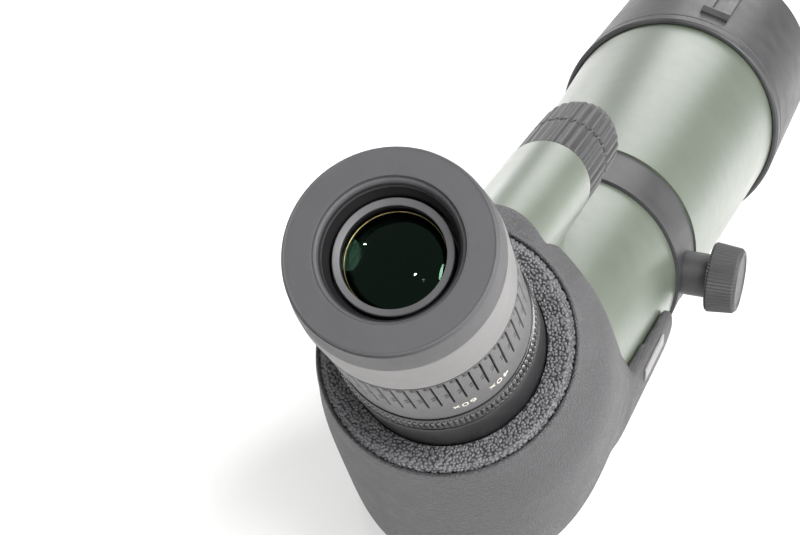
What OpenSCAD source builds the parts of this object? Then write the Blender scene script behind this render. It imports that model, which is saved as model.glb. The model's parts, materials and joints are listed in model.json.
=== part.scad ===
// Angled spotting scope, 80 mm objective, 20-60x zoom eyepiece.
// +Y points to the objective, +X to the lock knob, +Z up. The origin is the mouth of the tripod
// thread, under the middle of the tripod collar. All sizes are in millimetres.

/* [Optical axes] */
// Height of the main optical axis above the foot
axis_h = 64; // [60:1:75]
// Place along Y where the eyepiece axis meets the main axis
fold_y = -121.8; // [-124:0.2:-120]
// Length along the eyepiece axis from that place to the eyecup's rim
eye_len = 165.6; // [164:0.2:172]
// Height of the focus axis above the main axis
focus_h = 68.4; // [68:0.2:69]

/* [Tubes] */
// Outer radius of the green rear body
body_r = 39; // [38.5:0.1:39.2]
// Radius of the seat that the tripod collar turns on
seat_r = 38; // [37.8:0.1:38.2]
// Inner radius of the rear body
body_bore_r = 35; // [34:0.1:35.4]
// Outer radius of the objective tube at the collar
tube_back_r = 41; // [40.8:0.1:42]
// Outer radius of the objective tube at the hood
tube_front_r = 48; // [47:0.1:48]
// Place where the objective tube's cone ends
cone_end_y = 145; // [140:1:150]
// Front end of the objective tube
tube_end_y = 225; // [215:1:228]
// Outer radius of the tube that holds the focus screw
focus_tube_r = 14.5; // [14:0.1:14.8]
// Radius of the fillet between the focus tube and the rear body
fillet_r = 18; // [14:1:20]

/* [Hood] */
// Outer radius of the sliding hood
hood_r = 50.6; // [50.2:0.1:51]
// Front end of the hood when it is pushed back
hood_end_y = 234; // [232:1:240]
// Wall of the hood
hood_wall = 1.6; // [1.4:0.1:1.8]

/* [Objective] */
// Radius of the front lens
lens_r = 41.5; // [41:0.1:41.6]
// Clear radius in front of the lens
clear_r = 40; // [39:0.5:40]

/* [Collar and foot] */
// Outer radius of the tripod collar
collar_r = 40.3; // [40:0.1:40.8]
// Width of the tripod collar
collar_w = 26; // [25.5:0.5:28]
// Width of the pedestal between the collar and the foot
pedestal_w = 28; // [26:1:30]
// Length of the foot
foot_l = 66; // [62:1:68]
// Width of the foot
foot_w = 36; // [32:1:40]
// Inner radius of the tripod thread
thread_r = 2.6; // [2.5:0.05:2.7]
// Upward tilt of the lock knob
lock_tilt = 6; // [0:1:10]
// Outer radius of the lock knob
lock_knob_r = 13.4; // [12:0.1:14]
// Outer radius of the boss that the lock knob bears on
lock_boss_r = 8.4; // [8:0.1:9]

/* [Focus knobs] */
// Outer radius of the focus knobs
knob_r = 14.4; // [14:0.1:14.6]
// Number of grooves around each focus knob
knob_grooves = 28; // [20:1:32]
// Number of grooves around the lock knob
lock_grooves = 36; // [24:1:40]

/* [Armour] */
// Thickness of the rubber armour
armour_t = 2.5; // [2:0.1:3]
// Radius of the armour's lip around the eyepiece port
port_r = 37; // [36.8:0.1:38]

/* [Eyepiece] */
// Outer radius of the eyecup's rim
cup_r = 26.2; // [25.8:0.1:26.4]
// Outer radius of the eyecup where its rubber meets the sleeve
cup_base_r = 27.4; // [27:0.1:27.6]
// Radius of the opening in the eyecup
cup_open_r = 18.4; // [18:0.1:18.8]
// Outer radius of the zoom ring's grip
grip_r = 27.1; // [26.8:0.1:27.4]
// Outer radius of the fixed eyepiece barrel
barrel_r = 20; // [19.8:0.1:20]
// Turn of the zoom ring from lowest to highest power, in degrees
zoom_turn = 90; // [80:1:90]

/* [Hidden] */

$fn = 96;
hull_fn = 36;
lens_fn = 360;
cut = 0.5;
fit_gap = 0.08;
small_fit = 0.05;
green = "darkseagreen";
dark = "dimgray";
black = "#222222";
steel = "silver";
glass = "lightcyan";

collar_half = collar_w / 2;
body_back_y = -107.8;
focus_back_y = -146;
knob_back_y = -84.7;
knob_split_y = -64;
knob_front_y = -40.1;
screw_r = 3;
bore_r = 3.02;
groove_r = 0.8;
rod_x = 28;
rod_r = 1.5;
bracket_screw_ring_r = 30;
stud_foot_r = seat_r + 0.4;
bracket_screw_r = 1.3;
pad_t = 1.5;
foot_t = 10.4;
foot_screw_y = 10;
foot_screw_r = 2;
twist_hole_y = 22;
insert_r = 5.9;
insert_l = 9.5;
hood_back_y = 144.5;
rail_turn = 10;
rail_w = 13;
rail_groove_w = 5;
rail_y0 = 160;
rail_y1 = 225;
rail_top = hood_r + 2.8;
cell_back_y = 192;
lens_y = 204;
lens_curve = 160;
plate_y0 = -81;
plate_y1 = -54;
plate_z = axis_h + 2.6;
plate_w = 4.2;
port_s = 84;
cup_plate_s = 9.5;
sleeve_s0 = 14.6;
sleeve_s1 = 27.3;
zoom_s0 = 27.7;
scale_s0 = 47.8;
zoom_s1 = 59.8;
ring_s1 = 67.2;
base_s1 = 86;
front_pin_s = 39;
rear_pin_s = 45;
front_travel = 6;
rear_travel = 7;
pin_r = 1.2;
pin_gap = 0.2;

// Centre of the fillet circle that touches both the rear body and the focus tube
near_d = body_r + fillet_r;
far_d = focus_tube_r + fillet_r;
fillet_z = (near_d * near_d - far_d * far_d + focus_h * focus_h) / (2 * focus_h);
fillet_x = sqrt(near_d * near_d - fillet_z * fillet_z);

// Places children with their +Z along the main axis, starting at y
module along_y(y, lift = 0) {
  translate([0, y, axis_h + lift])
    rotate([-90, 0, 0])
      children();
}

// Places children on the eyepiece axis, s below the eyecup's rim, with +Z towards the eye
module on_eye(s) {
  translate([0, fold_y, axis_h])
    rotate([45, 0, 0])
      translate([0, 0, eye_len - s])
        children();
}

// Places children along the lock knob's axis, r out from the main axis
module on_lock(r) {
  translate([0, 0, axis_h])
    rotate([0, 90 - lock_tilt, 0])
      translate([0, 0, r])
        children();
}

module tube(r_out, r_in, h) {
  difference() {
    cylinder(r = r_out, h = h);
    translate([0, 0, -1])
      cylinder(r = r_in, h = h + 2);
  }
}

// A tube on the eyepiece axis that fills the stretch from s0 down to s1
module eye_tube(s0, s1, r_out, r_in) {
  on_eye(s1)
    tube(r_out, r_in, s1 - s0);
}

// A turned piece on the eyepiece axis; each point is [radius, s]
module eye_turned(points) {
  on_eye(0)
    rotate_extrude()
      polygon([for (p = points) [p[0], -p[1]]]);
}

// A turned piece on the main axis; each point is [radius, y]
module main_turned(points) {
  along_y(0)
    rotate_extrude()
      polygon(points);
}

// Glass with a rear and a front radius of curvature; its rear pole is at z = 0
module lens(r, t, curve_rear, curve_front) {
  intersection() {
    cylinder(r = r, h = t);
    translate([0, 0, curve_rear])
      sphere(r = curve_rear, $fn = lens_fn);
    translate([0, 0, t - curve_front])
      sphere(r = curve_front, $fn = lens_fn);
  }
}

// Outer shape of the armour, drawn in by t
module armour_envelope(t) {
  hull() {
    on_eye(port_s)
      cylinder(r = port_r - t, h = 0.1, $fn = hull_fn);
    on_eye(110)
      translate([0, 3, 0])
        cylinder(r = 45 - t, h = 0.1, $fn = hull_fn);
    on_eye(118)
      translate([0, 2, 0])
        cylinder(r = 45.8 - t, h = 0.1, $fn = hull_fn);
    translate([0, -126.8, axis_h])
      scale([43 - t, 50.4 - t, 50.4 - t])
        sphere(r = 1, $fn = hull_fn);
    intersection() {
      along_y(-89.6 + t / 5)
        cylinder(r = 42 - t, h = 0.1, $fn = 2 * hull_fn);
      translate([-60, -120, axis_h - 60])
        cube([120, 60, 67]);
    }
  }
}

// Cross-section of the web that joins the focus tube to the rear body
module web_outline(grow = 0) {
  a = body_r / near_d;
  b = focus_tube_r / far_d;
  low = [fillet_x * a, fillet_z * a];
  high = [fillet_x * b, focus_h - (focus_h - fillet_z) * b];
  difference() {
    polygon([
      [0, 30], [low[0], low[1]], [fillet_x, fillet_z], [high[0], high[1]],
      [-high[0], high[1]], [-fillet_x, fillet_z], [-low[0], low[1]]
    ]);
    for (side = [-1, 1])
      translate([side * fillet_x, fillet_z])
        circle(r = fillet_r - grow);
  }
}

// Extrudes an outline drawn in X and Z along Y, from y0 to y1
module extrude_y(y0, y1) {
  translate([0, y1, axis_h])
    rotate([90, 0, 0])
      linear_extrude(height = y1 - y0)
        children();
}

// Slot that the carriage's arm moves in, from the focus tube down into the rear body
module arm_slot() {
  translate([-3, -101.4, axis_h + 30])
    cube([6, 13.8, focus_h - 30]);
}

module rear_body() {
  color(green)
    difference() {
      union() {
        main_turned([
          [20, body_back_y], [body_r, body_back_y], [body_r, -collar_half - 0.3],
          [seat_r, -collar_half - 0.3], [seat_r, collar_half + 0.3],
          [36.9, collar_half + 0.3], [36.9, 27], [20, 27]
        ]);
        difference() {
          extrude_y(-130, knob_back_y - 0.3)
            web_outline();
          armour_envelope(armour_t);
        }
        along_y(focus_back_y, focus_h)
          cylinder(r = focus_tube_r, h = knob_back_y - 0.3 - focus_back_y);
      }
      along_y(body_back_y - cut)
        cylinder(r = body_bore_r, h = 122.8 + cut);
      along_y(15)
        cylinder(r = 34, h = 20);
      along_y(focus_back_y + 6, focus_h)
        cylinder(r = 10.5, h = 60);
      arm_slot();
    }
}

module prism_housing() {
  color(dark)
    difference() {
      union() {
        difference() {
          armour_envelope(armour_t + 0.2);
          armour_envelope(armour_t + 2.8);
        }
        intersection() {
          along_y(-111)
            cylinder(r = 45, h = 3);
          armour_envelope(armour_t + 1);
        }
        on_eye(91)
          cylinder(r = 33, h = 3);
      }
      translate([-80, -108, 0])
        cube([160, 60, 200]);
      on_eye(88)
        cylinder(r = 60, h = 30);
      on_eye(95)
        cylinder(r = 25.1, h = 10);
      along_y(-115)
        cylinder(r = 26, h = 10);
      along_y(focus_back_y - 1, focus_h)
        cylinder(r = focus_tube_r + 0.2, h = 60);
      screw_circle(bracket_screw_r + small_fit, -112, 6);
    }
}

// Four holes or shanks on the bracket's screw circle
module screw_circle(r, y, h) {
  for (a = [45:90:315])
    along_y(y)
      rotate([0, 0, a])
        translate([bracket_screw_ring_r, 0, 0])
          cylinder(r = r, h = h, $fn = 24);
}

module rear_armour() {
  color(black)
    difference() {
      union() {
        armour_envelope(0);
        intersection() {
          along_y(-165, focus_h)
            cylinder(r = focus_tube_r + 1.8, h = 27);
          on_eye(port_s + 60)
            cylinder(r = 70, h = 60);
        }
        intersection() {
          along_y(-100)
            cylinder(r = body_r + 4.3, h = 67);
          translate([-60, 0, axis_h])
            rotate([90, 0, 90])
              linear_extrude(height = 120)
                polygon([[-100, -50], [-100, 12], [-88, 12], [-38, 8], [-34, 5], [-33, 0], [-33, -50]]);
        }
      }
      difference() {
        armour_envelope(armour_t);
        on_eye(port_s + 1.5)
          cylinder(r = 80, h = 60);
      }
      along_y(-108)
        cylinder(r = body_r + 0.1, h = 90);
      along_y(focus_back_y - 1, focus_h)
        cylinder(r = focus_tube_r + 0.1, h = 60);
      extrude_y(-130, -60)
        web_outline(0.1);
      on_eye(port_s + 6)
        cylinder(r = 36.4, h = 20);
    }
}

module port_ring() {
  color(dark)
    eye_turned([[28.6, 85.8], [35.8, 83.4], [36.2, 83.8], [36.2, 87.8], [28.6, 87.8]]);
}

module name_plate() {
  color(steel)
    intersection() {
      along_y(plate_y0)
        tube(body_r + 4.9, body_r + 4.35, plate_y1 - plate_y0);
      translate([20, plate_y0 - 1, plate_z])
        cube([40, 50, plate_w]);
    }
}

module prism_bracket() {
  color(dark)
    difference() {
      union() {
        along_y(-107.7)
          tube(34.8, 15, 2);
        for (side = [-1, 1])
          translate([side * 16.5 - 1, 0, axis_h])
            rotate([90, 0, 90])
              linear_extrude(height = 2)
                polygon([[-148, -8], [-107, -17], [-107, 17], [-130, 24], [-150, 18]]);
      }
      screw_circle(bracket_screw_r + small_fit, -110, 10);
      for (side = [-1, 1])
        along_y(-110)
          translate([side * rod_x, 0, 0])
            cylinder(r = rod_r + small_fit, h = 10, $fn = 32);
    }
}

// Extrudes a prism's side outline, drawn in Y and Z, across X
module prism(points) {
  translate([-15, 0, axis_h])
    rotate([90, 0, 90])
      linear_extrude(height = 30)
        polygon(points);
}

module half_penta_prism() {
  color(glass)
    prism([[-112, -15], [-112, 15], [-129, 15], [-141, -15]]);
}

module roof_prism() {
  color(glass)
    prism([[-129.4, 15], [-141.4, -15], [-162, 9], [-146, 25]]);
}

module bracket_screws() {
  color(steel) {
    screw_circle(bracket_screw_r, -110.5, 5);
    screw_circle(2.4, -105.6, 1.6);
  }
}

module rod_bulkhead() {
  color(dark)
    difference() {
      along_y(-75)
        tube(34.9, 24, 3);
      for (side = [-1, 1])
        along_y(-76)
          translate([side * rod_x, 0, 0])
            cylinder(r = rod_r + small_fit, h = 10, $fn = 32);
    }
}

module guide_rods() {
  color(steel)
    for (side = [-1, 1])
      along_y(-107.5)
        translate([side * rod_x, 0, 0])
          cylinder(r = rod_r, h = 36, $fn = 32);
}

module focus_bush() {
  color("goldenrod")
    along_y(-88, focus_h)
      tube(10.45, screw_r + 0.06, 3);
}

module objective_tube() {
  color(green)
    main_turned([
      [37, collar_half + 0.4], [tube_back_r, collar_half + 0.4], [tube_front_r, cone_end_y],
      [tube_front_r, tube_end_y - 0.5], [tube_front_r - 0.5, tube_end_y], [45.5, tube_end_y],
      [45.5, 150], [39, 29], [39, 24], [37, 24]
    ]);
}

module objective_cell() {
  color(black)
    main_turned([
      [39.5, cell_back_y], [45.4, cell_back_y], [45.4, 221], [41.7, 221],
      [41.7, 197.9], [39.5, 197.9]
    ]);
}

module front_lens() {
  color(glass)
    along_y(lens_y)
      lens(lens_r, 14, lens_curve, lens_curve);
}

module rear_lens() {
  color(glass)
    along_y(lens_y)
      difference() {
        translate([0, 0, -6])
          cylinder(r = lens_r, h = 11.2);
        translate([0, 0, lens_curve])
          sphere(r = lens_curve + 0.1, $fn = lens_fn);
      }
}

module objective_ring() {
  color(black)
    along_y(213.2)
      tube(41.65, clear_r, 4);
}

module light_baffles() {
  color(black)
    for (y = [60, 95, 130]) {
      inner_wall = 39 + (y - 29) * 6.5 / 121;
      along_y(y)
        tube(inner_wall - 0.1, inner_wall - 7, 1.2);
    }
}

module tube_seal() {
  color(black)
    along_y(25.6)
      rotate_extrude()
        translate([37.95, 0])
          circle(r = 1, $fn = 24);
}

module eyepiece_base() {
  color(black)
    eye_turned([
      [barrel_r + 0.06, ring_s1 + 0.4], [27.6, ring_s1 + 0.4], [28.2, ring_s1 + 1], [28.3, base_s1],
      [25, base_s1], [25, 104], [barrel_r + 0.06, 104]
    ]);
}

module eyepiece_barrel() {
  color(dark)
    difference() {
      eye_tube(12, 106, barrel_r, 18);
      for (side = [0, 180])
        axial_slot(side, front_pin_s - front_travel, front_pin_s);
      for (side = [90, 270])
        axial_slot(side, rear_pin_s, rear_pin_s + rear_travel);
    }
}

// Straight slot through the barrel for a cell's pin to slide in
module axial_slot(angle, s0, s1) {
  on_eye(s1 + pin_r + pin_gap)
    rotate([0, 0, angle])
      translate([15, -pin_r - pin_gap, 0])
        cube([8, 2 * (pin_r + pin_gap), s1 - s0 + 2 * (pin_r + pin_gap)]);
}

module eyepiece_seal() {
  color(black)
    on_eye(93)
      rotate_extrude()
        translate([26.05, 0])
          circle(r = 1, $fn = 24);
}

module field_lens() {
  color(glass)
    on_eye(98)
      lens(17.9, 6, 60, 60);
}

module eye_lens_cell() {
  color(black)
    eye_turned([
      [12.9, 6.4], [13.1, 6], [14.5, 5.4], [14.9, 5.8], [14.9, 12.6], [17.9, 12.6], [17.9, 24],
      [13.7, 24], [13.7, 7.8], [12.9, 7.4]
    ]);
}

module eye_lens() {
  color(glass)
    on_eye(15)
      lens(13.6, 7.4, 60, 42);
}

module eye_doublet() {
  color(glass)
    on_eye(20.5)
      lens(13.6, 5, 80, 60);
}

module eye_lens_ring() {
  color(black)
    eye_tube(20.8, 23, 13.65, 11.5);
}

module sunshade() {
  color(dark)
    main_turned([
      [tube_front_r + 0.35, hood_back_y], [hood_r - 0.6, hood_back_y], [hood_r, hood_back_y + 0.6],
      [hood_r, hood_end_y - 1], [hood_r - 0.6, hood_end_y], [hood_r - hood_wall, hood_end_y],
      [hood_r - hood_wall, hood_back_y + 3], [tube_front_r + 0.35, hood_back_y + 3]
    ]);
}

module sight_rail() {
  color(black)
    translate([0, 0, axis_h])
      rotate([0, rail_turn, 0])
        difference() {
          translate([-rail_w / 2, 0, 0])
            rotate([90, 0, 90])
              linear_extrude(height = rail_w)
                polygon([
                  [rail_y0, hood_r - 1.6], [rail_y1, hood_r - 1.6], [rail_y1, rail_top],
                  [rail_y0 + 2.4, rail_top], [rail_y0, hood_r + 0.9]
                ]);
          translate([-rail_groove_w / 2, rail_y0 + 3.4, hood_r + 0.8])
            cube([rail_groove_w, rail_y1 - rail_y0, 10]);
          translate([0, 100, 0])
            rotate([-90, 0, 0])
              cylinder(r = hood_r + 0.02, h = 150);
        }
}

module hood_friction_ring() {
  color(black)
    along_y(hood_back_y + 3.2)
      tube(hood_r - hood_wall - 0.05, tube_front_r + 0.06, 6);
}

module tripod_collar() {
  color(dark)
    difference() {
      union() {
        along_y(-collar_half)
          cylinder(r = collar_r, h = collar_w);
        translate([-pedestal_w / 2, -collar_half, pad_t + foot_t + 0.1])
          cube([pedestal_w, collar_w, 30]);
        on_lock(36)
          cylinder(r = lock_boss_r, h = 13.2);
      }
      along_y(-collar_half - 1)
        cylinder(r = seat_r + fit_gap, h = collar_w + 2);
      on_lock(30)
        cylinder(r = screw_r + small_fit, h = 30);
      for (y = [-foot_screw_y, foot_screw_y])
        translate([0, y, 11])
          cylinder(r = foot_screw_r + small_fit, h = 9.4, $fn = 32);
    }
}

// Plate with round corners, its underside at z = 0
module rounded_plate(w, l, h, r) {
  translate([-w / 2 + r, -l / 2, 0])
    cube([w - 2 * r, l, h]);
  translate([-w / 2, -l / 2 + r, 0])
    cube([w, l - 2 * r, h]);
  for (x = [-1, 1], y = [-1, 1])
    translate([x * (w / 2 - r), y * (l / 2 - r), 0])
      cylinder(r = r, h = h);
}

module tripod_foot() {
  color(dark)
    difference() {
      translate([0, 0, pad_t])
        rounded_plate(foot_w, foot_l, foot_t, 5);
      translate([0, 0, -1])
        cylinder(r = insert_r + 0.1, h = insert_l + 1.1);
      translate([0, twist_hole_y, -1])
        cylinder(r = 2.35, h = 8.5, $fn = 32);
      for (y = [-foot_screw_y, foot_screw_y])
        translate([0, y, -1]) {
          cylinder(r = foot_screw_r + small_fit, h = 20, $fn = 32);
          cylinder(r = 3.6, h = 7, $fn = 32);
        }
    }
}

module foot_pad() {
  slot_r = insert_r + 0.5;
  color(black)
    difference() {
      rounded_plate(foot_w - 4, foot_l - 4, pad_t, 4);
      for (y = [-foot_screw_y, twist_hole_y])
        translate([0, y, -1])
          cylinder(r = slot_r, h = 4);
      translate([-slot_r, -foot_screw_y, -1])
        cube([2 * slot_r, foot_screw_y + twist_hole_y, 4]);
    }
}

module foot_screws() {
  color(steel)
    for (y = [-foot_screw_y, foot_screw_y])
      translate([0, y, 2])
        difference() {
          union() {
            cylinder(r = 3.5, h = 4, $fn = 32);
            cylinder(r = foot_screw_r, h = 18, $fn = 32);
          }
          translate([0, 0, -1])
            cylinder(r = 1.7, h = 3, $fn = 6);
        }
}

module thread_insert() {
  color(steel)
    tube(insert_r, thread_r, insert_l);
}

module lock_knob() {
  color(black)
    difference() {
      on_lock(49.5)
        rotate_extrude()
          polygon([
            [0, 0.8], [bore_r, 0.8], [bore_r, 0], [lock_knob_r - 0.6, 0], [lock_knob_r, 0.7],
            [lock_knob_r - 0.9, 10.2], [lock_knob_r - 2, 11.5], [0, 11.5]
          ]);
      for (i = [0:lock_grooves - 1])
        on_lock(48)
          rotate([0, 0, i * 360 / lock_grooves])
            translate([lock_knob_r + 0.25, 0, 0])
              cylinder(r = 0.6, h = 10, $fn = 24);
      on_lock(49)
        cylinder(r = bore_r, h = 7.6);
    }
}

module lock_stud() {
  color(steel)
    on_lock(stud_foot_r)
      cylinder(r = screw_r, h = 56.5 - stud_foot_r);
}

// Grooves along a focus knob from y0 to y1
module knob_cuts(y0, y1) {
  for (i = [0:knob_grooves - 1])
    along_y(y0, focus_h)
      rotate([0, 0, i * 360 / knob_grooves])
        translate([knob_r + 0.2, 0, 0])
          cylinder(r = groove_r, h = y1 - y0, $fn = 24);
}

module coarse_focus_knob() {
  color(black)
    difference() {
      along_y(0, focus_h)
        rotate_extrude()
          polygon([
            [bore_r, knob_back_y], [knob_r - 0.4, knob_back_y], [knob_r, knob_back_y + 0.6],
            [knob_r, knob_split_y - 0.8], [knob_r - 0.4, knob_split_y - 0.2],
            [bore_r, knob_split_y - 0.2]
          ]);
      knob_cuts(knob_back_y - 1, knob_split_y + 1);
    }
}

module fine_focus_knob() {
  color(black)
    difference() {
      along_y(0, focus_h)
        rotate_extrude()
          polygon([
            [screw_r + 0.06, knob_split_y + 0.2], [knob_r - 0.4, knob_split_y + 0.2],
            [knob_r, knob_split_y + 0.8], [knob_r - 0.3, knob_front_y - 7],
            [11.6, knob_front_y], [screw_r + 0.06, knob_front_y]
          ]);
      knob_cuts(knob_split_y - 1, knob_front_y + 1);
    }
}

module focus_screw() {
  color(steel)
    along_y(-104, focus_h)
      cylinder(r = screw_r, h = 64.4);
}

module focus_end_cap() {
  color(steel)
    along_y(-39.5, focus_h)
      cylinder(r = 8, h = 1.5);
}

module focus_carriage() {
  color("gray")
    difference() {
      union() {
        along_y(-98, 0)
          tube(25, 21, 8);
        for (side = [-1, 1])
          translate([side * rod_x, -98, axis_h])
            rotate([-90, 0, 0])
              cylinder(r = 4, h = 8);
        along_y(-98.5, focus_h)
          cylinder(r = 9.5, h = 6);
        translate([-2.5, -97, axis_h + 23])
          cube([5, 5, focus_h - 23]);
      }
      for (side = [-1, 1])
        along_y(-99)
          translate([side * rod_x, 0, 0])
            cylinder(r = rod_r + 0.06, h = 12, $fn = 32);
      along_y(-100, focus_h)
        cylinder(r = screw_r + 0.06, h = 12);
    }
}

module focus_lens() {
  color(glass)
    along_y(-97)
      lens(20.9, 6, 90, 90);
}

module zoom_ring() {
  color(dark)
    eye_turned([
      [barrel_r + fit_gap, zoom_s0], [25, zoom_s0], [25, scale_s0], [grip_r - 0.3, scale_s0],
      [grip_r - 0.2, zoom_s1 - 0.6], [grip_r - 0.8, zoom_s1], [barrel_r + fit_gap, zoom_s1],
      [barrel_r + fit_gap, 56], [22.7, 56], [22.7, 30.6], [barrel_r + fit_gap, 30.6]
    ]);
}

module zoom_grip() {
  color(black)
    eye_tube(zoom_s0 + 0.1, scale_s0 - 0.1, grip_r, 25.05);
}

// Helical slot for a pin: it starts at the pin's angle and place, and ends travel away
module helical_slot(angle, s0, travel) {
  steps = 3;
  for (side = [0, 180], i = [0:steps - 1])
    hull()
      for (k = [i, i + 1])
        on_eye(s0 + travel * k / steps)
          rotate([0, 0, angle + side - zoom_turn * k / steps])
            rotate([0, 90, 0])
              translate([0, 0, 19])
                cylinder(r = pin_r + 0.5, h = 5, $fn = 16);
}

module zoom_cam() {
  color("goldenrod")
    difference() {
      eye_tube(31, 55.6, 22.5, barrel_r + 0.3);
      helical_slot(0, front_pin_s, -front_travel);
      helical_slot(90, rear_pin_s, rear_travel);
    }
}

module eyepiece_lock_ring() {
  color(black)
    eye_turned([
      [barrel_r + fit_gap, zoom_s1 + 0.3], [27.5, zoom_s1 + 0.3], [28.2, zoom_s1 + 1],
      [28.2, ring_s1 - 0.3], [27.8, ring_s1], [barrel_r + fit_gap, ring_s1]
    ]);
}

// Ring that holds a zoom lens, with two pins that reach the cam
module zoom_cell(s, h, angle) {
  difference() {
    union() {
      eye_tube(s - h / 2, s + h / 2, 17.9, 15);
      for (side = [0, 180])
        on_eye(s)
          rotate([0, 0, angle + side])
            rotate([0, 90, 0])
              translate([0, 0, 15.5])
                cylinder(r = pin_r, h = 6.6, $fn = 32);
    }
    on_eye(s + h)
      cylinder(r = 15, h = 2 * h);
  }
}

module zoom_cell_front() {
  color("gray")
    zoom_cell(front_pin_s, 5, 0);
}

module zoom_cell_rear() {
  color("gray")
    zoom_cell(rear_pin_s, 5, 90);
}

module zoom_lens_front() {
  color(glass)
    on_eye(front_pin_s + 2.2)
      lens(14.9, 4.4, 70, 70);
}

module zoom_lens_rear() {
  color(glass)
    on_eye(rear_pin_s + 2.2)
      lens(14.9, 4.4, 70, 70);
}

module eyecup_cam_ring() {
  color("gray")
    eye_tube(13, 26, 22.6, barrel_r + fit_gap);
}

module eyecup_sleeve() {
  color(dark)
    eye_turned([
      [15.5, cup_plate_s], [23.4, cup_plate_s], [23.4, sleeve_s0], [cup_base_r, sleeve_s0],
      [grip_r + 0.1, sleeve_s1], [22.9, sleeve_s1], [22.9, cup_plate_s + 1.9],
      [15.5, cup_plate_s + 1.9]
    ]);
}

module eyecup_rubber() {
  color(black)
    eye_turned([
      [cup_open_r, 0.5], [cup_open_r + 0.5, 0.05], [cup_r - 1.6, 0.05], [cup_r - 1, 0], [cup_r, 1.2],
      [cup_base_r - 0.3, 7], [cup_base_r, sleeve_s0 - 0.2], [23.5, sleeve_s0 - 0.2],
      [23.5, cup_plate_s - 0.1], [15.6, cup_plate_s - 0.1], [15.7, 6], [17.4, 1.8], [17.9, 1.4]
    ]);
}

rear_body();
prism_housing();
rear_armour();
port_ring();
name_plate();
prism_bracket();
half_penta_prism();
roof_prism();
bracket_screws();
rod_bulkhead();
guide_rods();
focus_bush();
objective_tube();
objective_cell();
front_lens();
rear_lens();
objective_ring();
light_baffles();
tube_seal();
eyepiece_base();
eyepiece_barrel();
eyepiece_seal();
field_lens();
eye_lens_cell();
eye_lens();
eye_doublet();
eye_lens_ring();
sunshade();
sight_rail();
hood_friction_ring();
tripod_collar();
tripod_foot();
foot_pad();
foot_screws();
thread_insert();
lock_knob();
lock_stud();
coarse_focus_knob();
focus_screw();
focus_end_cap();
fine_focus_knob();
focus_carriage();
focus_lens();
zoom_ring();
zoom_grip();
zoom_cam();
eyepiece_lock_ring();
zoom_cell_front();
zoom_lens_front();
zoom_cell_rear();
zoom_lens_rear();
eyecup_cam_ring();
eyecup_sleeve();
eyecup_rubber();
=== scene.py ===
"""Spotting scope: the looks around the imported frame.

Row frame, metres: +Y to the objective, +X to the lock knob, +Z up. Turned pieces are drawn in millimetres, as
(radius, height) corners about their own Z, and placed on the axes of the joints.
"""
import json
import math

import bmesh
import bpy
import numpy as np
from mathutils import Euler, Matrix, Vector, kdtree

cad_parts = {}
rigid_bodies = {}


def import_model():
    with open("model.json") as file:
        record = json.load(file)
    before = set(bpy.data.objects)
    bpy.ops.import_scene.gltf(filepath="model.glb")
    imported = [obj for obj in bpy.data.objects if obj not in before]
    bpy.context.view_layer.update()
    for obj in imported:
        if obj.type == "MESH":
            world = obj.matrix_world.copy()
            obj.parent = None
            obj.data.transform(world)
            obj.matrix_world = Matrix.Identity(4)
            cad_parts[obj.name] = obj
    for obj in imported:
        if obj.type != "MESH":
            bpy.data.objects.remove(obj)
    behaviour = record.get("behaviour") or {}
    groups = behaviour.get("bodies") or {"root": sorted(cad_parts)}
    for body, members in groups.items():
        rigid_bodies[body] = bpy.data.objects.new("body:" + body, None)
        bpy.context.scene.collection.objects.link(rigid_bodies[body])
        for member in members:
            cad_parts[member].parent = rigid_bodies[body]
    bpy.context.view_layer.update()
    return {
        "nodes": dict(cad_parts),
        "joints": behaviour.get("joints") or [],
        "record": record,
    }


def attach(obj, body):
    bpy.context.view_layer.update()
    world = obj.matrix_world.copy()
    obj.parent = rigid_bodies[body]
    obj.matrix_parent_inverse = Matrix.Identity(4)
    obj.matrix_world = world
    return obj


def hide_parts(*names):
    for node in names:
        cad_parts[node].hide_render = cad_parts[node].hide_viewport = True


for leftover in list(bpy.data.objects):
    bpy.data.objects.remove(leftover)
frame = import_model()

# ---------------------------------------------------------------- axes

MM = 0.001
SIDE = Vector((1, 0, 0))
nodes = frame["nodes"]
joints = {joint["name"]: joint for joint in frame["joints"]}


def place_of(joint, side):
    """Axes with Z along a joint's axis and X near side, with their origin where the joint's pos_m is."""
    z = Vector(joint["axis"]).normalized()
    x = (Vector(side) - z * z.dot(Vector(side))).normalized()
    place = Matrix((x, z.cross(x), z)).transposed().to_4x4()
    place.translation = Vector(joint["pos_m"])
    return place


def moved_along(place, distance):
    return place @ Matrix.Translation((0, 0, distance))


def reach(node, place):
    """A CAD node's lowest and highest Z and its largest radius in a place's axes, in millimetres."""
    inverse = place.inverted()
    points = np.array([inverse @ vertex.co for vertex in nodes[node].data.vertices]) / MM
    return points[:, 2].min(), points[:, 2].max(), np.hypot(points[:, 0], points[:, 1]).max()


# Z is the row's Y on the main and focus axes, the height above the eyecup's rim on the eye axis, and the
# distance from the main axis on the lock axis
MAIN = place_of(joints["collar_turn"], SIDE)
FOCUS = place_of(joints["coarse_focus_turn"], SIDE)
FOCUS = moved_along(FOCUS, -FOCUS.translation.y)
EYE = place_of(joints["zoom_turn"], SIDE)
EYE = moved_along(EYE, reach("eyecup_rubber", EYE)[1] * MM)
LOCK = place_of(joints["collar_lock_turn"], (0, 1, 0))
LOCK = moved_along(LOCK, -(LOCK.translation - MAIN.translation).length)

# ---------------------------------------------------------------- mesh tools

COLUMNS = 256  # points round a turned piece
WIDE_COLUMNS = 320  # the same on the widest pieces
CORNER_STEPS = 4
CORNER_SHARE = 0.45  # the most of a stretch that a round corner may take
SHARP = math.radians(38)
ON_AXIS = 1e-7
SAME_POINT = 1e-8


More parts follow.
